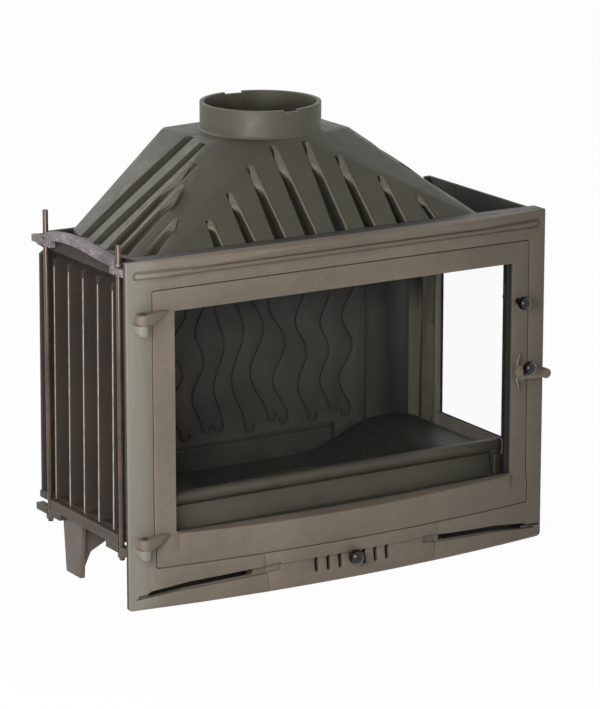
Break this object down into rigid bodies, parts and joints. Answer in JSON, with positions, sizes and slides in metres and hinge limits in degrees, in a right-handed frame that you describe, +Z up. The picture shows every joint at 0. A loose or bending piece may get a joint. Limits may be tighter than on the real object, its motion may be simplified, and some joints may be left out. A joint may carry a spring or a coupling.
{
  "type": "fireplace insert",
  "caption": "Cast-iron wood-burning fireplace insert: bowed front, glazed hinged door, ash drawer with air slide, glazed side, ribbed side and fluted smoke hood with a round flue spigot.",
  "frame": {"origin": "centre of the bounding box at floor level, under the feet", "axes": "+X to the right seen from the front, the door's free side; +Y to the back; +Z up. The door's face looks along -Y."},
  "size_m": [0.7, 0.364, 0.667],
  "materials": {
    "cast_front": "raw sandblasted grey cast iron",
    "cast_hood": "raw cast iron, dark olive grey",
    "cast_side": "raw cast iron, brown black",
    "cast_fire": "cast iron, dark grey",
    "cast_frame": "cast iron, warm dark grey",
    "cast_clamp": "rough fettled cast iron, light",
    "glass": "clear ceramic glass",
    "rope": "braided glass-fibre rope, dark",
    "black_gloss": "black enamel, glossy",
    "steel_dark": "dark painted steel",
    "steel_bright": "plain steel",
    "sheet": "dark aluminised sheet steel"
  },
  "bodies": {
    "insert": {"facade": "cast_front", "hinge_pins": "steel_dark", "ash_box": "sheet", "left_side_casting": "cast_side", "right_side_frame": "cast_frame", "side_glass": "glass", "side_glass_seal": "rope", "side_glass_clips": "steel_dark", "side_glass_screws": "steel_bright", "back_casting": "cast_fire", "fireback_plate": "cast_fire", "hearth_base": "cast_frame", "hearth_grate": "cast_fire", "log_bar": "cast_frame", "ash_lip": "cast_frame", "smoke_baffle": "cast_fire", "hood": "cast_hood", "flue_collar": "cast_hood", "tie_rods": "steel_dark", "tie_rod_nuts": "steel_dark", "top_clamp_bar": "cast_clamp", "bottom_clamp_bar": "cast_clamp", "foot_left": "cast_clamp", "foot_right": "cast_clamp"},
    "door": {"door_frame": "cast_front", "door_glass": "glass", "door_glass_seal": "rope", "door_rope_seal": "rope", "glass_clips": "steel_dark", "glass_clip_screws": "steel_bright"},
    "handle": {"door_handle": "cast_front", "handle_grip": "black_gloss", "door_latch_cam": "steel_dark"},
    "upper_latch": {"upper_knob": "black_gloss", "upper_latch_cam": "steel_dark"},
    "ash_drawer": {"ash_drawer_front": "cast_front", "ash_pan": "sheet"},
    "air_control": {"air_register": "sheet", "air_knob": "black_gloss"}
  },
  "joints": [
    {"name": "door_hinge", "type": "hinge", "parent": "insert", "child": "door", "pos_m": [-0.333, -0.147, 0.26], "axis": [0, 0, -1], "range_deg": [0, 100]},
    {"name": "handle_turn", "type": "hinge", "parent": "door", "child": "handle", "pos_m": [0.306, -0.134, 0.264], "axis": [0, 1, 0], "range_deg": [0, 90]},
    {"name": "upper_latch_turn", "type": "hinge", "parent": "door", "child": "upper_latch", "pos_m": [0.302, -0.134, 0.372], "axis": [0, 1, 0], "range_deg": [0, 90]},
    {"name": "drawer_slide", "type": "slide", "parent": "insert", "child": "ash_drawer", "axis": [0, -1, 0], "range_m": [0, 0.2]},
    {"name": "air_slide", "type": "slide", "parent": "ash_drawer", "child": "air_control", "axis": [1, 0, 0], "range_m": [0, 0.01]}
  ]
}
